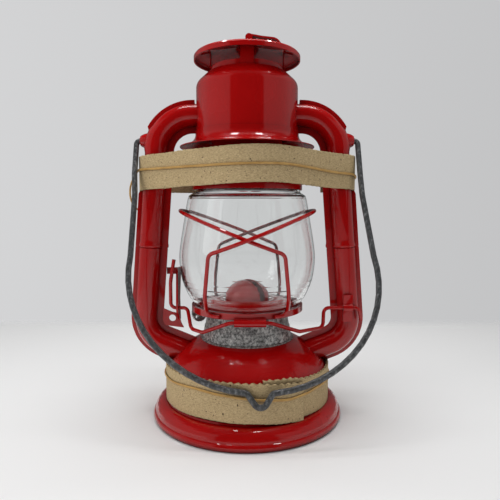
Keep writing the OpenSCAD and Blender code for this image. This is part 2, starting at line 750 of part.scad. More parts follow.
module guard() {
    r = globe_r + wire_r + 0.6;
    slope = 0.388;
    cross_z = globe_z + 0.577 * globe_h;
    corner_r = r / cos(30);
    over = 2.9 * wire_d;
    side_x = globe_r - 1.1;
    tail_r = plate_r + wire_r + part_gap;
    tail_z = plate_z + wire_r + part_gap;
    leg_x = -24.5;
    half = [[-16.5, -sqrt(pow(tail_r, 2) - pow(16.5, 2)), tail_z],
        [leg_x, -sqrt(pow(tail_r, 2) - pow(leg_x, 2)) - 0.2, tail_z],
        [leg_x - 0.5, -sqrt(pow(globe_r + 0.3, 2) - pow(leg_x, 2)), globe_z + 0.147 * globe_h],
        [leg_x + 2.2, -sqrt(pow(globe_r + 2.5, 2) - pow(leg_x + 2.2, 2)), cross_z + slope * (leg_x + 2.2)]];
    top = [[0, -corner_r - over, cross_z], [side_x, -side_x * tan(30), cross_z + slope * side_x],
        [side_x, side_x * tan(30), cross_z + slope * side_x], [0, corner_r, cross_z]];
    path = concat(half, top, [for (k = [3 : -1 : 0]) [half[k].x, -half[k].y, half[k].z]]);
    radii = [0, 4, 20, 5, 34, 42, 42, 34, 5, 20, 4, 0];
    color("firebrick") swept(rounded(path, radii, 9), wire_r, 10, [0, 0, 1]);
}
module guard_right() { guard(); }
module guard_left() { rotate([0, 0, 180]) guard(); }

// Lift lever and its holders
module lift_lever() {
    y = crank_y;
    low = crank_low_z;
    path = rounded([[clip_x + 9, y + 1, crank_z - 8], [clip_x + 7.2, y, crank_z], [inner_x - 6, y, crank_z],
        [inner_x - 6.6, y - 1.2, low], [33, -23, low], [lug_x + 12, lug_y, lug_z], [lug_x - 12, lug_y, lug_z],
        [-28, -23, low - 0.6], [handle_x + 13.2, y - 2, low - 0.6], [handle_x + 10.8, y, crank_z],
        [handle_x, y, crank_z], [handle_x, y, crank_z + 17], [handle_x + 2.4, y, crank_z + 31.5]],
        [0, 3.6, 3.6, 3.6, 9, 8, 8, 9, 3.6, 3.2, 3.4, 24, 0], 6);
    color("firebrick") {
        swept(path, wire_r - 0.02, 10, [0, 1, 0]);
        rod([clip_x - 6, y, crank_z], [clip_x + 3, y, crank_z], wire_r);
        rod([bracket_x - 0.9, y, crank_z], [bracket_x + 1.4, y, crank_z], wire_r);
    }
}
module lever_clip() {
    w = 6;
    x0 = clip_x - w / 2;
    out = crank_y - wire_r - 1.3;
    color("firebrick")
        difference() {
            union() {
                rod([x0, crank_y, crank_z], [x0 + w, crank_y, crank_z], wire_r + 1.3);
                translate([x0, out + 1.6, crank_z - 9]) cube([w, -out - 3, 17.5]);
            }
            rod([x0 - 1, crank_y, crank_z], [x0 + w + 1, crank_y, crank_z], wire_r + run);
            straight_run(splay, low_t - 10 * along_up, 60, tube_r + fit);
            translate([x0 - 1, -5, crank_z - 12]) cube([w + 2, 20, 24]);
        }
}
module lever_bracket() {
    t = 1.2;
    plate_y = -3;
    arm_y = crank_y - wire_r - 1.4;
    arm_top = 25;
    catch_y = 3;
    catch_h = 5;
    lean = 1.2;
    sink = 0.3;
    touch = 0.15;
    plate_in = sqrt(pow(tube_r, 2) - pow(plate_y + t, 2));
    elbow_r = low_bend_r - plate_in - touch;
    plate_top = crank_z - 2;
    catch_x = sqrt(pow(tube_r, 2) - pow(catch_y, 2)) + touch - tube_x(crank_z + arm_top);
    color("firebrick")
        difference() {
            union() {
                translate([0, plate_y + t, 0])
                    rotate([90, 0, 0])
                        linear_extrude(height = t)
                            polygon(concat([[plate_in + touch - tube_x(plate_top), plate_top],
                                [handle_x - 1, crank_z - 4.4], [bracket_x - 0.5, crank_z - 5.6],
                                [bracket_x + 1, crank_z - 11.8], [bracket_x + 2.7, crank_z - 15],
                                [bracket_x - 0.7, crank_z - 14.6]],
                                arc([-low_c.x, low_c.y], elbow_r, elbow_r, 222, 180, 6)));
                translate([bracket_x, 0, crank_z])
                    rotate([0, -lean, 0])
                        rotate([90, 0, 90])
                            linear_extrude(height = t, center = true)
                                polygon([[arm_y, -3], [arm_y, 3], [arm_y + 5, arm_top],
                                    [catch_y + t + sink, arm_top], [catch_y + t + sink, arm_top - catch_h],
                                    [plate_y + t - sink, 6], [plate_y + t - sink, -9], [plate_y - 3, -9]]);
                translate([catch_x, catch_y, crank_z + arm_top - catch_h + sink])
                    cube([bracket_x - arm_top * sin(lean) - catch_x, t, catch_h - 2 * sink]);
            }
            rod([bracket_x - 4, crank_y, crank_z], [bracket_x + 4, crank_y, crank_z], wire_r + run);
            translate([handle_x - 0.4, 0, crank_z - 8.6])
                rotate([90, 0, 0]) cylinder(h = 40, r = 2.3, center = true);
        }
}

// Packing
function wound(a) = let (r = card_r + card_step * ease((a - 330) / 38)) [r * sin(a), -r * cos(a)];
function band_at(a) = let (r = card_r + card_t / 2 + 0.1 + band_t / 2
        + card_step * (ease((a - 330) / 38) - ease((a - card_end - 1) / 12))) [r * sin(a), -r * cos(a)];
module card_lower() {
    line = [for (k = [0 : 96]) wound(card_start + (card_end - card_start) * k / 96)];
    color("tan")
        difference() {
            translate([0, 0, card_z])
                linear_extrude(height = card_h) polygon(ribbon(line, card_t));
            for (s = [0, 1])
                mirror([s, 0, 0])
                    straight_run(low_stop, stub_at, stub_len + tube_r, tube_r + fin_w + part_gap);
        }
}
module band_lower() {
    line = [for (k = [0 : 95]) band_at(50 + 360 * k / 96)];
    loop = concat(line, [line[0], line[1]]);
    out = shifted(loop, band_t / 2);
    in = shifted(loop, -band_t / 2);
    color("peru")
        translate([0, 0, band_low_z])
            linear_extrude(height = band_h)
                difference() {
                    polygon([for (k = [1 : 96]) out[k]]);
                    polygon([for (k = [1 : 96]) in[k]]);
                }
}
front_y = -(wrap_r * sin(wrap_a) + (card_x + wrap_r * cos(wrap_a)) / tan(wrap_a));
knee_y = wrap_r * tan(wrap_a / 2);
side_x = card_x + wrap_r;
turn_r = 0.99 * wrap_r;
upper_line = rounded([[card_x - 9.5, wrap_r], [side_x, wrap_r], [side_x, -knee_y], [0, front_y],
    [-side_x, -knee_y], [-side_x, knee_y], [0, -front_y],
    [bow_r * 0.62, -front_y - bow_r * 0.62 / tan(wrap_a)]],
    [0, turn_r, turn_r, bow_r, turn_r, turn_r, bow_r, 0], 12);
module card_upper() {
    color("tan")
        translate([0, 0, upper_card_z])
            linear_extrude(height = upper_card_h)
                polygon(ribbon(upper_line, card_t));
}
module band_upper() {
    line = shifted(upper_line, -(card_t / 2 + 0.1 + band_t / 2));
    color("peru")
        translate([0, 0, upper_band_z])
            linear_extrude(height = band_h)
                difference() {
                    polygon(shifted(line, -band_t / 2));
                    polygon(shifted(line, band_t / 2));
                }
}

fount_shell();
base_skirt();
fount_bottom();
tank_top();
burner_collar();
burner_body();
burner_dome();
wick_tube();
filler_neck();
tube_upper_left();
tube_upper_right();
tube_lower_left();
tube_lower_right();
canopy();
canopy_bell();
canopy_floor();
bail_ear_left();
bail_ear_right();
lever_clip();
lever_bracket();
chimney_spring();
card_upper();
card_lower();
band_upper();
band_lower();
bail();
chimney();
hood();
hood_strap_front();
hood_strap_back();
hood_strap_left();
hood_strap_right();
hood_tab();
globe_cap();
globe();
globe_plate();
guard_left();
guard_right();
lift_lever();
wick();
wick_spindle();
wick_sprockets();
wick_wheel();
filler_cap();
filler_gasket();
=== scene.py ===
"""Looks of a hurricane lantern: finishes, card strips, rubber bands, light and camera."""
import json
import math

import bmesh
import bpy
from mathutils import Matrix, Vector, noise


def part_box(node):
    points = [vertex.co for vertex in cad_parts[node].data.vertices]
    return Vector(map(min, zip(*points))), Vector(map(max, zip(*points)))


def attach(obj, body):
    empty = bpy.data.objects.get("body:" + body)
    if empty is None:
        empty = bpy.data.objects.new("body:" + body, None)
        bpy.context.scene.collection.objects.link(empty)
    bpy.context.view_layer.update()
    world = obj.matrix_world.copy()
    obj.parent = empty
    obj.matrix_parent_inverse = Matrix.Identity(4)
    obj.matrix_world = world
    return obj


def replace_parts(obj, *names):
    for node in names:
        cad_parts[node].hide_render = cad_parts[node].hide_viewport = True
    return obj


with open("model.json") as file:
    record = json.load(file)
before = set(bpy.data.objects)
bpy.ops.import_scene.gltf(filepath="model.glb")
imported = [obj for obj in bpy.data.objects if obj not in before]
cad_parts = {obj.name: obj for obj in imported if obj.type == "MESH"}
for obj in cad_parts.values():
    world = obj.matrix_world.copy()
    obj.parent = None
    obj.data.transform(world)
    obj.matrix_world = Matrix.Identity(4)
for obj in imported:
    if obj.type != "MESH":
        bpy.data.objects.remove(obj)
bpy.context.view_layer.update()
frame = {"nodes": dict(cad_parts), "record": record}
nodes = frame["nodes"]
MM = 0.001

# Sizes in millimetres, as in the part
TUBE_R = 9.6
CARD_T = 1.5
BAND_T = 1.0
BAND_H = 1.5
FLUTE_PITCH = 4.3
FLUTE_STEPS = 8
LINER_T = 0.3


def low(node):
    """Lowest corner of a node, in millimetres."""
    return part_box(node)[0] / MM


def high(node):
    """Highest corner of a node, in millimetres."""
    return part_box(node)[1] / MM


# Node trees
def put(tree, kind, inputs, **settings):
    """Adds a shader node, with values or links on its sockets."""
    made = tree.nodes.new("ShaderNode" + kind)
    for key, value in settings.items():
        setattr(made, key, value)
    for key, value in inputs.items():
        if isinstance(value, bpy.types.NodeSocket):
            tree.links.new(value, made.inputs[key])
        else:
            made.inputs[key].default_value = value
    return made


def new_material(name):
    material = bpy.data.materials.new(name)
    material.use_nodes = True
    material.node_tree.nodes.clear()
    return material, material.node_tree


def surface(tree, shader):
    put(tree, "OutputMaterial", {"Surface": shader.outputs[0]})


def place(tree, scale=(1, 1, 1)):
    """Coordinates of the piece itself, stretched by scale."""
    at = put(tree, "TexCoord", {})
    return put(tree, "Mapping", {"Vector": at.outputs["Object"], "Scale": scale}).outputs[0]


def grain(tree, at, scale, detail=4.0, rough=0.55):
    made = put(tree, "TexNoise", {"Vector": at, "Scale": scale, "Detail": detail, "Roughness": rough})
    return made.outputs["Fac"]


def ramp(tree, fac, stops):
    made = put(tree, "ValToRGB", {"Fac": fac})
    band = made.color_ramp
    while len(band.elements) < len(stops):
        band.elements.new(0.5)
    for element, (position, colour) in zip(band.elements, stops):
        element.position = position
        element.color = (*colour, 1.0)
    return made.outputs["Color"]


def mix(tree, fac, a, b, blend="MIX"):
    made = put(tree, "MixRGB", {"Fac": fac, "Color1": a, "Color2": b}, blend_type=blend)
    return made.outputs[0]


def either(tree, fac, first, second):
    """Mixes two shaders."""
    made = put(tree, "MixShader", {"Fac": fac})
    tree.links.new(first.outputs[0], made.inputs[1])
    tree.links.new(second.outputs[0], made.inputs[2])
    return made


def spread(tree, fac, lowest, highest):
    made = put(tree, "MapRange", {"Value": fac, "To Min": lowest, "To Max": highest})
    return made.outputs[0]


def bump(tree, height, strength, depth_mm):
    made = put(tree, "Bump", {"Height": height, "Strength": strength, "Distance": depth_mm * MM})
    return made.outputs[0]


def grey(value):
    return (value, value, value)


# Finishes
def red_enamel():
    """Glossy enamel on pressed sheet that waves a little."""
    material, tree = new_material("red_enamel")
    at = place(tree)
    tone = grain(tree, at, 24.0, 3.0)
    specks = grain(tree, at, 1500.0, 2.0)
    paint = ramp(tree, tone, [(0.3, (0.345, 0.0016, 0.0018)), (0.7, (0.42, 0.0025, 0.0027))])
    dust = ramp(tree, specks, [(0.76, grey(0.0)), (0.8, grey(1.0))])
    dusty = mix(tree, dust, paint, (0.42, 0.09, 0.09, 1.0))
    # Painted shade: crevices, grooves and the meeting lines of parts are darkened by an ambient-occlusion
    # mask multiplied into the paint colour
    painted_crevice_ao = put(tree, "AmbientOcclusion", {"Distance": 9.0 * MM}, samples=8).outputs["AO"]
    shade = ramp(tree, painted_crevice_ao, [(0.15, grey(0.12)), (0.8, grey(1.0))])
    colour = mix(tree, 1.0, dusty, shade, "MULTIPLY")
    hollows = put(tree, "AmbientOcclusion", {"Distance": 32.0 * MM}, samples=8).outputs["AO"]
    gloss = ramp(tree, hollows, [(0.3, grey(0.1)), (0.72, grey(1.0))])
    peel = grain(tree, at, 420.0, 2.0)
    waves = grain(tree, at, 70.0, 1.0)
    normal = bump(tree, mix(tree, 0.3, waves, peel), 0.05, 0.25)
    shader = put(tree, "BsdfPrincipled", {
        "Base Color": colour,
        "Roughness": spread(tree, tone, 0.2, 0.32),
        "Specular IOR Level": 0.1,
        "Coat Weight": gloss,
        "Coat Roughness": 0.025,
        "Coat IOR": 1.5,
        "Normal": normal,
        "Coat Normal": normal,
    })
    surface(tree, shader)
    return material


def galvanised():
    material, tree = new_material("galvanised")
    at = place(tree)
    spots = grain(tree, at, 520.0, 6.0, 0.72)
    patches = grain(tree, at, 130.0, 3.0)
    spotted = ramp(tree, spots, [(0.38, grey(0.06)), (0.5, (0.42, 0.42, 0.41)), (0.6, (0.90, 0.90, 0.87))])
    colour = mix(tree, spread(tree, patches, 0.0, 0.45), spotted, (0.18, 0.18, 0.175, 1.0))
    shader = put(tree, "BsdfPrincipled", {
        "Base Color": colour,
        "Metallic": 0.6,
        "Roughness": spread(tree, spots, 0.62, 0.34),
        "Normal": bump(tree, spots, 0.35, 0.2),
    })
    surface(tree, shader)
    return material


def bail_wire():
    material, tree = new_material("bail_wire")
    streaks = grain(tree, place(tree, (0.45, 1.0, 0.16)), 1300.0, 4.0, 0.6)
    patches = grain(tree, place(tree), 160.0, 3.0)
    streaked = ramp(tree, streaks, [
        (0.34, grey(0.055)), (0.54, (0.125, 0.129, 0.134)), (0.72, (0.36, 0.365, 0.37))])
    colour = mix(tree, spread(tree, patches, 0.0, 0.4), streaked, (0.075, 0.078, 0.082, 1.0))
    shader = put(tree, "BsdfPrincipled", {
        "Base Color": colour,
        "Metallic": 0.55,
        "Roughness": spread(tree, streaks, 0.55, 0.36),
        "Normal": bump(tree, streaks, 0.08, 0.15),
    })
    surface(tree, shader)
    return material


def spring_wire():
    material, tree = new_material("spring_wire")
    streaks = grain(tree, place(tree, (1.0, 1.0, 3.0)), 700.0)
    shader = put(tree, "BsdfPrincipled", {
        "Base Color": ramp(tree, streaks, [(0.3, grey(0.25)), (0.7, grey(0.5))]),
        "Metallic": 1.0,
        "Roughness": spread(tree, streaks, 0.25, 0.45),
    })
    surface(tree, shader)
    return material


def glass():
    material, tree = new_material("glass")
    at = place(tree, (1.0, 1.0, 0.3))
    seeds = grain(tree, at, 35.0, 2.0)
    shader = put(tree, "BsdfPrincipled", {
        "Base Color": (0.975, 0.985, 0.98, 1.0),
        "Roughness": 0.0,
        "IOR": 1.46,
        "Transmission Weight": 1.0,
        "Normal": bump(tree, seeds, 0.03, 0.5),
    })
    path = put(tree, "LightPath", {})
    lamps = put(tree, "Math", {
        0: path.outputs["Is Shadow Ray"],
        1: path.outputs["Is Diffuse Ray"],
    }, operation="MAXIMUM")
    clear = put(tree, "BsdfTransparent", {"Color": (0.94, 0.95, 0.945, 1.0)})
    surface(tree, either(tree, lamps.outputs[0], shader, clear))
    return material


def card():
    material, tree = new_material("card")
    at = place(tree)
    fibres = grain(tree, place(tree, (1.0, 1.0, 2.6)), 850.0, 5.0, 0.65)
    blotches = grain(tree, at, 60.0, 3.0)
    flecks = grain(tree, at, 700.0, 2.0)
    pulp = ramp(tree, fibres, [
        (0.32, (0.33, 0.235, 0.12)), (0.52, (0.56, 0.42, 0.225)), (0.7, (0.72, 0.57, 0.34))])
    toned = mix(tree, spread(tree, blotches, 0.0, 0.35), pulp, (0.42, 0.31, 0.18, 1.0))
    spots = ramp(tree, flecks, [(0.28, grey(1.0)), (0.33, grey(0.0))])
    flecked = mix(tree, spots, toned, (0.07, 0.045, 0.025, 1.0))
    # Painted shadow: the card is darkened near other parts, such as under the bell's rim, by an
    # ambient-occlusion mask multiplied into its colour
    painted_shadow_ao = put(tree, "AmbientOcclusion", {"Distance": 16.0 * MM}, samples=8).outputs["AO"]
    colour = mix(tree, 1.0, flecked, ramp(tree, painted_shadow_ao, [(0.3, grey(0.3)), (0.8, grey(1.0))]), "MULTIPLY")
    shader = put(tree, "BsdfPrincipled", {
        "Base Color": colour,
        "Roughness": spread(tree, fibres, 0.95, 0.8),
        "Specular IOR Level": 0.2,
        "Normal": bump(tree, fibres, 0.35, 0.25),
    })
    surface(tree, shader)
    return material


def rubber_band():
    material, tree = new_material("rubber_band")
    tone = grain(tree, place(tree), 160.0, 3.0)
    shader = put(tree, "BsdfPrincipled", {
        "Base Color": ramp(tree, tone, [(0.3, (0.42, 0.235, 0.06)), (0.7, (0.56, 0.34, 0.11))]),
        "Roughness": spread(tree, tone, 0.42, 0.62),
        "Subsurface Weight": 0.15,
        "Subsurface Radius": (0.0012, 0.0008, 0.0004),
    })
    surface(tree, shader)
    return material


def wick_cloth():
    material, tree = new_material("wick_cloth")
    at = place(tree)
    yarn = put(tree, "TexWave", {
        "Vector": at, "Scale": 420.0, "Distortion": 1.5, "Detail": 2.0}, bands_direction="Z")
    fluff = grain(tree, at, 1600.0, 4.0)
    shader = put(tree, "BsdfPrincipled", {
        "Base Color": ramp(tree, fluff, [(0.3, grey(0.010)), (0.7, grey(0.055))]),
        "Roughness": 0.95,
        "Sheen Weight": 0.25,
        "Normal": bump(tree, yarn.outputs["Fac"], 0.7, 0.3),
    })
    surface(tree, shader)
    return material


def seal():
    material, tree = new_material("seal")
    pores = grain(tree, place(tree), 900.0)
    shader = put(tree, "BsdfPrincipled", {
        "Base Color": ramp(tree, pores, [(0.3, grey(0.015)), (0.7, grey(0.04))]),
        "Roughness": 0.75,
    })
    surface(tree, shader)
    return material


FINISHES = {make.__name__: make() for make in (
    red_enamel, galvanised, bail_wire, spring_wire, glass, card, rubber_band, wick_cloth, seal)}


def dress(piece, slot):
    piece.data.materials.clear()
    piece.data.materials.append(FINISHES[slot])


for part in frame["record"]["subparts"]:
    dress(nodes[part["node"]], part["material_slot"])


# Outlines and sweeps
def unit(v):
    return v.normalized()


def rounded(points, radii, steps):
    """A flat line with its corners turned into arcs."""
    line = [points[0]]
    for before, here, after, radius in zip(points, points[1:], points[2:], radii):
        inward, onward = unit(here - before), unit(after - here)
        turn = inward.angle(onward)
        reach = radius * math.tan(turn / 2)
        start = here - inward * reach
        centre = here + unit(onward - inward) * radius / math.cos(turn / 2)
        spoke = start - centre
        for k in range(steps + 1):
            a = turn * k / steps
            line.append(centre + spoke * math.cos(a) + inward * radius * math.sin(a))
    return line + [points[-1]]


def spaced(line, step):
    """The same line at even steps."""
    marks = [0.0]
    for a, b in zip(line, line[1:]):
        marks.append(marks[-1] + (b - a).length)
    count = max(2, round(marks[-1] / step))
    out, i = [], 0
    for k in range(count + 1):
        s = marks[-1] * k / count
        while i < len(line) - 2 and marks[i + 1] < s:
            i += 1
        t = (s - marks[i]) / max(1e-9, marks[i + 1] - marks[i])
        out.append(line[i].lerp(line[i + 1], t))
    return out


def smooth_line(points, steps, closed=False):
    """A smooth curve through points."""
    n = len(points)
    get = (lambda i: points[i % n]) if closed else (lambda i: points[max(0, min(n - 1, i))])
    out = []
    for i in range(n if closed else n - 1):
        a, b, c, d = get(i - 1), get(i), get(i + 1), get(i + 2)
        for k in range(steps):
            t = k / steps
            out.append(0.5 * (2 * b + (c - a) * t + (2 * a - 5 * b + 4 * c - d) * t * t
                              + (3 * b - a - 3 * c + d) * t ** 3))
    return out if closed else out + [points[-1]]


def between(keys, s):
    """Smooth value at s among sorted (place, value) pairs."""
    if s <= keys[0][0]:
        return keys[0][1]
    for (a, u), (b, v) in zip(keys, keys[1:]):
        if s <= b:
            t = (s - a) / (b - a)
            return u + (v - u) * t * t * (3 - 2 * t)
    return keys[-1][1]


def sides(line, closed=False):
    """Unit vectors to the right of a flat line."""
    n = len(line)
    out = []
    for i in range(n):
        a = line[(i - 1) % n] if closed or i > 0 else line[i]
        b = line[(i + 1) % n] if closed or i < n - 1 else line[i]
        d = unit(b - a)
        out.append(Vector((d.y, -d.x)))
    return out


def mesh_piece(name, points, faces, slot, body="frame"):
    """A smooth mesh from points in millimetres, riding on a body."""
    mesh = bpy.data.meshes.new(name)
    mesh.from_pydata([p * MM for p in points], [], faces)
    mesh.shade_smooth()
    mesh.update()
    piece = bpy.data.objects.new(name, mesh)
    bpy.context.scene.collection.objects.link(piece)
    dress(piece, slot)
    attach(piece, body)
    return piece


STEEP = 0.97


def tube(name, line, width, height, slot, closed=False, ring=10):
    """A tube of oval section along a line in space."""
    n = len(line)
    points, faces = [], []
    for i in range(n):
        a = line[(i - 1) % n] if closed or i > 0 else line[i]
        b = line[(i + 1) % n] if closed or i < n - 1 else line[i]
        along = unit(b - a)
        across_from = Vector((0, 0, 1)) if abs(along.z) < STEEP else Vector((0, 1, 0))
        out = unit(along.cross(across_from))
        up = out.cross(along)
        for k in range(ring):
            a = 2 * math.pi * k / ring
            points.append(line[i] + out * math.cos(a) * width / 2 + up * math.sin(a) * height / 2)
    for i in range(n if closed else n - 1):
        j = (i + 1) % n
        for k in range(ring):
            m = (k + 1) % ring
            faces.append((i * ring + k, i * ring + m, j * ring + m, j * ring + k))
    if not closed:
        faces.append(tuple(range(ring - 1, -1, -1)))
        faces.append(tuple((n - 1) * ring + k for k in range(ring)))
    return mesh_piece(name, points, faces, slot)


# Card strips
ROWS = (0.0, 0.02, 0.3, 0.7, 0.98, 1.0)


def board(name, line, bottom, height, seed, scallop):
    """Corrugated board along a flat line: two liners with a fluted sheet between them.
    bottom gives the height of its lower edge at each share of its length, and scallop
    how far its top edge follows the flutes."""
    line = spaced(line, FLUTE_PITCH / FLUTE_STEPS)
    right = sides(line)
    last = len(line) - 1
    gap = CARD_T / 2 - LINER_T / 2
    points, faces = [], []

    def sheet(offset, ragged, layer):
        start = len(points)
        for i, (p, n) in enumerate(zip(line, right)):
            wave = math.cos(2 * math.pi * i / FLUTE_STEPS)
            q = p + n * offset(wave)
            for j, t in enumerate(ROWS):
                torn = 0.0
                if j in (0, len(ROWS) - 1):
                    torn = noise.noise((i * 0.35, seed + layer * 7.0, t * 9.0)) * ragged
                if j == len(ROWS) - 1:
                    torn += scallop * wave
                points.append(Vector((q.x, q.y, bottom(i / last) + height * t + torn)))
        for i in range(last):
            for j in range(len(ROWS) - 1):
                a = start + i * len(ROWS) + j
                faces.append((a, a + len(ROWS), a + len(ROWS) + 1, a + 1))

    sheet(lambda wave: gap + 0.05 * wave, 0.45, 0)
    sheet(lambda wave: -gap + 0.05 * wave, 0.45, 1)
    sheet(lambda wave: (gap - LINER_T) * wave, 0.3, 2)
    piece = mesh_piece(name, points, faces, "card")
    thick = piece.modifiers.new("thickness", "SOLIDIFY")
    thick.thickness = LINER_T * MM
    thick.offset = 0.0
    return piece


# Upper strip: round both tubes, bowed round the front and the back of the globe
upper_z = low("card_upper").z
upper_h = high("card_upper").z - upper_z
wrap_r = TUBE_R + 0.15 + CARD_T / 2
side_x = high("card_upper").x - CARD_T / 2
post_x = side_x - wrap_r
bow_r = -low("card_upper").y - CARD_T / 2
lean = math.pi / 2 - math.asin((bow_r - wrap_r) / post_x)
front_y = -(wrap_r * math.sin(lean) + (post_x + wrap_r * math.cos(lean)) / math.tan(lean))
knee_y = wrap_r * math.tan(lean / 2)
turn_r = 0.99 * wrap_r
FREE_END = 9.5
lap_x = bow_r * 0.62
upper_line = rounded(
    [Vector(p) for p in (
        (post_x - FREE_END, wrap_r), (side_x, wrap_r), (side_x, -knee_y), (0, front_y), (-side_x, -knee_y),
        (-side_x, knee_y), (0, -front_y), (lap_x, -front_y - lap_x / math.tan(lean)))],
    (turn_r, turn_r, bow_r, turn_r, turn_r, bow_r), 14)
UPPER_SAG = ((0.0, -3.0), (0.08, -2.2), (0.14, -1.3), (0.31, 1.4), (0.48, -0.4), (0.56, -1.5),
             (0.68, -3.0), (1.0, -2.5))
card_upper = board(
    "card_strip_upper", upper_line, lambda s: upper_z + between(UPPER_SAG, s), upper_h, 3.0, 0.05)
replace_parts(card_upper, "card_upper")

# Lower strip: a little over one turn round the fount, with its free end over its start
lower_z = low("card_lower").z
lower_h = high("card_lower").z - lower_z
inner_r = high("card_lower").x - CARD_T / 2
LAP_STEP = CARD_T + 0.15
CARD_START, CARD_END = 10.0, 397.0


def ease(t):
    t = max(0.0, min(1.0, t))
    return t * t * (3 - 2 * t)


def lap(angle):
    return LAP_STEP * ease((angle - 330) / 38)


def round_fount(angle, radius):
    a = math.radians(angle)
    return Vector((radius * math.sin(a), -radius * math.cos(a)))


LOWER_DIP = ((10, 1.2), (25, 0.9), (42, -1.2), (60, -2.0), (90, -2.4), (180, -2.0), (270, -2.0), (300, -0.6),
             (337, 0.2), (362, 0.2), (385, -1.4), (397, -2.6))
lower_line = [round_fount(a, inner_r + lap(a)) for a in range(int(CARD_START), int(CARD_END) + 1)]
card_lower = board(
    "card_strip_lower", lower_line,
    lambda s: lower_z + between(LOWER_DIP, CARD_START + (CARD_END - CARD_START) * s), lower_h, 11.0, 0.4)
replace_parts(card_lower, "card_lower")


# Rubber bands
def band_round(name, line, heights, replaced):
    marks = len(line)
    route = [Vector((p.x, p.y, between(heights, i / marks))) for i, p in enumerate(line)]
    piece = tube(name, route, BAND_T, BAND_H, "rubber_band", closed=True)
    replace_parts(piece, replaced)
    return piece


BAND_OUT = CARD_T / 2 + 0.1 + BAND_T / 2
upper_loop = [p - n * BAND_OUT for p, n in zip(upper_line, sides(upper_line))]
upper_band_line = spaced(upper_loop + [upper_loop[0]], 2.0)[:-1]
mid_z = upper_z + upper_h / 2
UPPER_BAND_Z = ((0.0, mid_z - 7.0), (0.06, mid_z - 5.5), (0.12, mid_z - 2.8), (0.27, mid_z + 1.2),
                (0.42, mid_z + 0.3), (0.55, mid_z), (0.8, mid_z - 1.5), (0.9, mid_z - 6.5),
                (1.0, mid_z - 7.0))
band_round("band_round_top", upper_band_line, UPPER_BAND_Z, "band_upper")

lower_band_line = [
    round_fount(a, inner_r + BAND_OUT + lap(a if a > 200 else a + 360) * (1 - ease((a - CARD_END + 359) / 12)
                if a < 200 else 1))
    for a in range(0, 360, 3)]
band_z = low("band_lower").z + BAND_H / 2
LOWER_BAND_Z = ((0.0, band_z + 0.6), (0.024, band_z - 0.4), (0.072, band_z - 1.9), (0.105, band_z - 1.0),
                (0.25, band_z - 1.2), (0.5, band_z - 0.5), (0.75, band_z), (0.82, band_z + 0.8),
                (0.91, band_z + 2.6), (0.96, band_z + 1.6), (1.0, band_z + 0.6))
band_round("band_round_base", lower_band_line, LOWER_BAND_Z, "band_lower")

slack = smooth_line([Vector(p) for p in (
    (-71.5, -1.0, mid_z + 0.2), (-73.0, 0.5, 159.2), (-76.2, 1.0, 153.7), (-77.5, 1.2, 148.4),
    (-77.3, 1.5, 143.2), (-75.7, 2.5, 138.6), (-72.5, 5.5, 134.8), (-67.5, 9.9, 133.0),
    (-62.0, 11.8, 135.0), (-59.5, 12.1, 141.0), (-59.0, 12.1, 149.0), (-59.5, 12.2, mid_z - 1.0))], 6)
tube("band_slack_loop", slack, 1.2, 1.2, "rubber_band", ring=8)


# Frame tubes: two pressed halves, closed by a flange on the inner and the outer side
TOP_BEND = 22.3
LOW_BEND = 17.0
LOW_STOP = math.radians(-68)
JOINT_SHARE = 0.42
FLANGE_IN = -9.6
FLANGE_OUT = 11.8
FLANGE_Y = 0.62
ROUND_S = 1.7
ROUND_W = 7.1
ROUND_D = 9.5
ROUND_POWER = 2.4
ROUND_STEPS = 20
FLANGE_STOP = 1.1
ELBOW_STEPS = 30
RUN_STEPS = 24
LOW_RUN_STEPS = 10
LOW_ELBOW_STEPS = 24
LAND_R = 31.0
SHOULDER_R = 42.0
SHOULDER_START = math.radians(70)
WALL = 0.5
STEP_IN = 0.25
MOST_STEPS = 140
canopy_r = high("canopy").x
fount_r = high("fount_shell").x
fount_top = high("fount_shell").z
tube_top = low("canopy_bell").z + 19.4
ear_z = (low("bail_ear_right").z + high("bail_ear_right").z) / 2
top_c = Vector((canopy_r + 2.5, tube_top - TOP_BEND))
low_c = Vector((fount_r - 3.5, fount_top + 13.0))
span = top_c - low_c
splay = math.atan2(span.y, span.x) - math.acos((LOW_BEND - TOP_BEND) / span.length)


def spoke(angle):
    return Vector((math.cos(angle), math.sin(angle)))


shoulder_c = Vector((LAND_R, fount_top)) - spoke(SHOULDER_START) * SHOULDER_R
top_t = top_c + spoke(splay) * TOP_BEND
low_t = low_c + spoke(splay) * LOW_BEND
joint_at = low_t.lerp(top_t, JOINT_SHARE)
upward = unit(top_t - low_t)
FLARE = ((-1.0, 0.0), (0.0, -0.2), (0.5, 0.35), (1.6, 0.45), (3.0, 0.1), (4.5, 0.0))


def pressed(reach, grow, swell):
    """Half of the tube's section, from its outer to its inner flange."""
    half = [(reach, FLANGE_Y)]
    first = math.asin((FLANGE_Y / ROUND_D) ** (ROUND_POWER / 2))
    for k in range(ROUND_STEPS + 1):
        a = first + (math.pi - 2 * first) * k / ROUND_STEPS
        c = math.cos(a)
        width = ROUND_W + grow + (swell if c > 0 else 0.0)
        across_s = math.copysign(abs(c) ** (2 / ROUND_POWER), c) * width
        half.append((ROUND_S + across_s, math.sin(a) ** (2 / ROUND_POWER) * (ROUND_D + grow)))
    return half + [(FLANGE_IN - grow, FLANGE_Y)]


def tube_ring(at, angle, reach=FLANGE_OUT, grow=0.0, swell=0.0):
    """One section of the right tube, in space."""
    half = pressed(max(reach, ROUND_S + ROUND_W + grow + swell + 0.05), grow, swell)
    loop = half + [(s, -y) for s, y in reversed(half)]
    n = spoke(angle)
    return [Vector((at.x + n.x * s, y, at.y + n.y * s)) for s, y in loop]


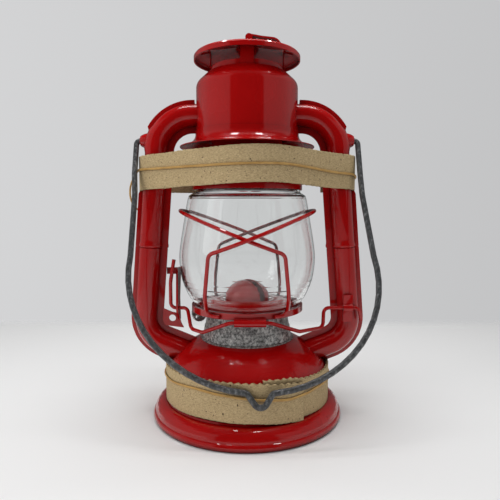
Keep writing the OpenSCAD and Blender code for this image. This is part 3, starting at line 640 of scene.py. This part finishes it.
def flange_reach(z):
    """Outer flange, cut back under the card strip and the bail's ear."""
    return between((
        (upper_z - 3.2, FLANGE_OUT), (upper_z - 1.6, 9.2), (ear_z - 5.5, 9.2), (ear_z - 4.0, 10.0),
        (ear_z + 5.0, 10.0), (ear_z + 6.5, FLANGE_OUT)), z)


def ear_swell(z):
    return between(((ear_z - 9.0, 0.0), (ear_z - 4.5, 0.85), (ear_z + 4.5, 0.85), (ear_z + 9.0, 0.0)), z)


def loft(name, rings, mirrored):
    """A closed skin through rings of points, in enamel."""
    count = len(rings[0])
    points = [Vector((-q.x, q.y, q.z)) if mirrored else q for ring in rings for q in ring]
    faces = [tuple(range(count)), tuple(range((len(rings) - 1) * count, len(rings) * count))]
    for i in range(len(rings) - 1):
        for k in range(count):
            m = (k + 1) % count
            faces.append((i * count + k, i * count + m, (i + 1) * count + m, (i + 1) * count + k))
    piece = mesh_piece(name, points, faces, "red_enamel")
    skin = bmesh.new()
    skin.from_mesh(piece.data)
    bmesh.ops.recalc_face_normals(skin, faces=skin.faces)
    skin.to_mesh(piece.data)
    skin.free()
    piece.data.set_sharp_from_angle(angle=math.radians(38))
    return piece


def in_fount(q):
    r = math.hypot(q.x, q.y)
    return r < fount_r - WALL and (Vector((r, q.z)) - shoulder_c).length < SHOULDER_R - WALL


def run_in(ring, way):
    """The ring's points moved along a way until they are in the fount."""
    out = []
    for q in ring:
        steps = next((k for k in range(MOST_STEPS) if in_fount(q + way * k * STEP_IN)), MOST_STEPS)
        out.append(q + way * steps * STEP_IN)
    return out


mouth = tube_ring(Vector((canopy_r, tube_top)), math.pi / 2, reach=0.0)
upper_rings = [[Vector((math.sqrt((canopy_r - 0.2) ** 2 - q.y ** 2), q.y, q.z)) for q in mouth]]
for gap, reach in ((FLANGE_STOP, 0.0), (FLANGE_STOP + 0.3, FLANGE_OUT)):
    upper_rings.append(tube_ring(Vector((canopy_r + gap, tube_top)), math.pi / 2, reach))
for k in range(ELBOW_STEPS + 1):
    angle = math.pi / 2 + (splay - math.pi / 2) * k / ELBOW_STEPS
    at = top_c + spoke(angle) * TOP_BEND
    z = at.y + math.sin(angle) * ROUND_W
    upper_rings.append(tube_ring(at, angle, flange_reach(z), swell=ear_swell(z)))
upper_run = (top_t - joint_at).length
foot_steps = [4.5, 3.0, 2.2, 1.6, 1.0, 0.5, 0.2, 0.0]
for d in [upper_run * k / RUN_STEPS for k in range(RUN_STEPS - 1, 1, -1)] + foot_steps:
    at = joint_at + upward * d
    upper_rings.append(tube_ring(at, splay, flange_reach(at.y), between(FLARE, d), ear_swell(at.y)))
lower_rings = [tube_ring(joint_at + upward * d, splay, FLANGE_OUT - 1.0, -0.7) for d in (4.0, 0.3)]
lower_run = (joint_at - low_t).length
for d in [0.4] + [lower_run * k / LOW_RUN_STEPS for k in range(1, LOW_RUN_STEPS)]:
    lower_rings.append(tube_ring(joint_at - upward * d, splay))
for k in range(LOW_ELBOW_STEPS + 1):
    angle = splay + (LOW_STOP - splay) * k / LOW_ELBOW_STEPS
    lower_rings.append(tube_ring(low_c + spoke(angle) * LOW_BEND, angle))
inward = Vector((math.sin(LOW_STOP), 0.0, -math.cos(LOW_STOP)))
lower_rings.append(run_in(lower_rings[-1], inward))
for mirrored, where in ((False, "right"), (True, "left")):
    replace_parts(loft("tube_skin_upper_" + where, upper_rings, mirrored), "tube_upper_" + where)
    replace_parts(loft("tube_skin_lower_" + where, lower_rings, mirrored), "tube_lower_" + where)

# Stage
FLOOR_EDGE = 0.263
FLOOR_SOFT = 0.03
floor_mesh = bpy.data.meshes.new("floor")
floor_mesh.from_pydata([(-3, -3, 0), (3, -3, 0), (3, FLOOR_EDGE, 0), (-3, FLOOR_EDGE, 0)], [], [(0, 1, 2, 3)])
floor = bpy.data.objects.new("floor", floor_mesh)
floor.location.z = -0.0002
bpy.context.scene.collection.objects.link(floor)
floor_material, floor_tree = new_material("floor")
floor_at = put(floor_tree, "SeparateXYZ", {"Vector": put(floor_tree, "TexCoord", {}).outputs["Object"]})
floor_fade = put(floor_tree, "MapRange", {
    "Value": floor_at.outputs["Y"], "From Min": FLOOR_EDGE - FLOOR_SOFT, "From Max": FLOOR_EDGE})
floor_paint = put(floor_tree, "BsdfPrincipled", {"Base Color": (0.86, 0.86, 0.86, 1.0), "Roughness": 0.6})
floor_clear = put(floor_tree, "BsdfTransparent", {})
surface(floor_tree, either(floor_tree, floor_fade.outputs[0], floor_paint, floor_clear))
floor_mesh.materials.append(floor_material)

# Light: a pale box with lamps under its lid and an open, dark front
world = bpy.data.worlds.new("studio")
bpy.context.scene.world = world
world.use_nodes = True
sky = world.node_tree
sky.nodes.clear()
way = put(sky, "TexCoord", {}).outputs["Generated"]
way_parts = put(sky, "SeparateXYZ", {"Vector": way}).outputs
level = put(sky, "VectorMath", {0: way, 1: (1.0, 1.0, 0.0)}, operation="MULTIPLY")
heading = put(sky, "VectorMath", {0: level.outputs[0]}, operation="NORMALIZE").outputs[0]
facing = put(sky, "VectorMath", {0: heading, 1: (0.0, -1.0, 0.0)}, operation="DOT_PRODUCT").outputs["Value"]


def across(tree, value, start, end, first, last):
    """A value that runs from first to last between two limits."""
    return put(tree, "MapRange", {"Value": value, "From Min": start, "From Max": end,
                                  "To Min": first, "To Max": last}).outputs[0]


def times(tree, a, b):
    return put(tree, "Math", {0: a, 1: b}, operation="MULTIPLY").outputs[0]


FRONT_EDGE = math.cos(math.radians(37))
beside = across(sky, facing, FRONT_EDGE - 0.02, FRONT_EDGE + 0.02, 1.0, 0.0)
below_lid = across(sky, way_parts["Z"], 0.62, 0.72, 1.0, 0.12)
behind = across(sky, facing, -0.3, -0.8, 0.33, 0.14)
mirrored = times(sky, times(sky, beside, below_lid), behind)
seen = put(sky, "LightPath", {}).outputs
direct = put(sky, "Math", {
    0: seen["Is Camera Ray"], 1: seen["Is Transmission Ray"]}, operation="MAXIMUM").outputs[0]
ambient = put(sky, "Background", {
    "Color": (1.0, 1.0, 1.0, 1.0), "Strength": across(sky, way_parts["X"], -1, 1, 0.46, 0.30)})
gloss = put(sky, "Background", {"Color": (1.0, 1.0, 1.0, 1.0), "Strength": mirrored})
wall = put(sky, "Background", {
    "Color": (0.995, 0.998, 1.01, 1.0), "Strength": across(sky, way_parts["X"], -0.45, 0.45, 0.655, 0.555)})
lit = either(sky, seen["Is Glossy Ray"], ambient, gloss)
put(sky, "OutputWorld", {"Surface": either(sky, direct, lit, wall).outputs[0]})


def panel(name, at, aim, size, power):
    """A rectangular soft light at a place, turned to a point."""
    light = bpy.data.lights.new(name, "AREA")
    light.shape = "RECTANGLE"
    light.size, light.size_y = size
    light.energy = power
    lamp = bpy.data.objects.new(name, light)
    lamp.location = at
    lamp.rotation_euler = (Vector(aim) - Vector(at)).to_track_quat("-Z", "Y").to_euler()
    bpy.context.scene.collection.objects.link(lamp)
    return lamp


def fill(*settings):
    """A soft light that makes no highlight."""
    panel(*settings).visible_glossy = False


fill("lid_fill", (0.0, -0.10, 0.75), (0, 0, 0.10), (0.6, 0.6), 2.3)
fill("left_fill", (-0.60, -0.30, 0.35), (0, 0, 0.12), (0.4, 0.4), 1.1)
LAMP_Z = 0.5
for lamp_name, lamp_y in (("lamp_strip_front", -0.03), ("lamp_strip_back", 0.05)):
    panel(lamp_name, (0.01, lamp_y, LAMP_Z), (0.01, lamp_y + 0.001, 0.0), (0.32, 0.02), 0.38)

# Camera
camera_data = bpy.data.cameras.new("camera")
camera_data.sensor_width = 36.0
camera_data.lens = 34.56
camera_data.clip_start = 0.01
camera = bpy.data.objects.new("camera", camera_data)
camera.location = (0.0019, -0.3188, 0.1355)
camera.rotation_euler = (math.radians(90 - 4.8), 0, 0)
bpy.context.scene.collection.objects.link(camera)
bpy.context.scene.camera = camera
bpy.context.scene.view_settings.view_transform = "Standard"
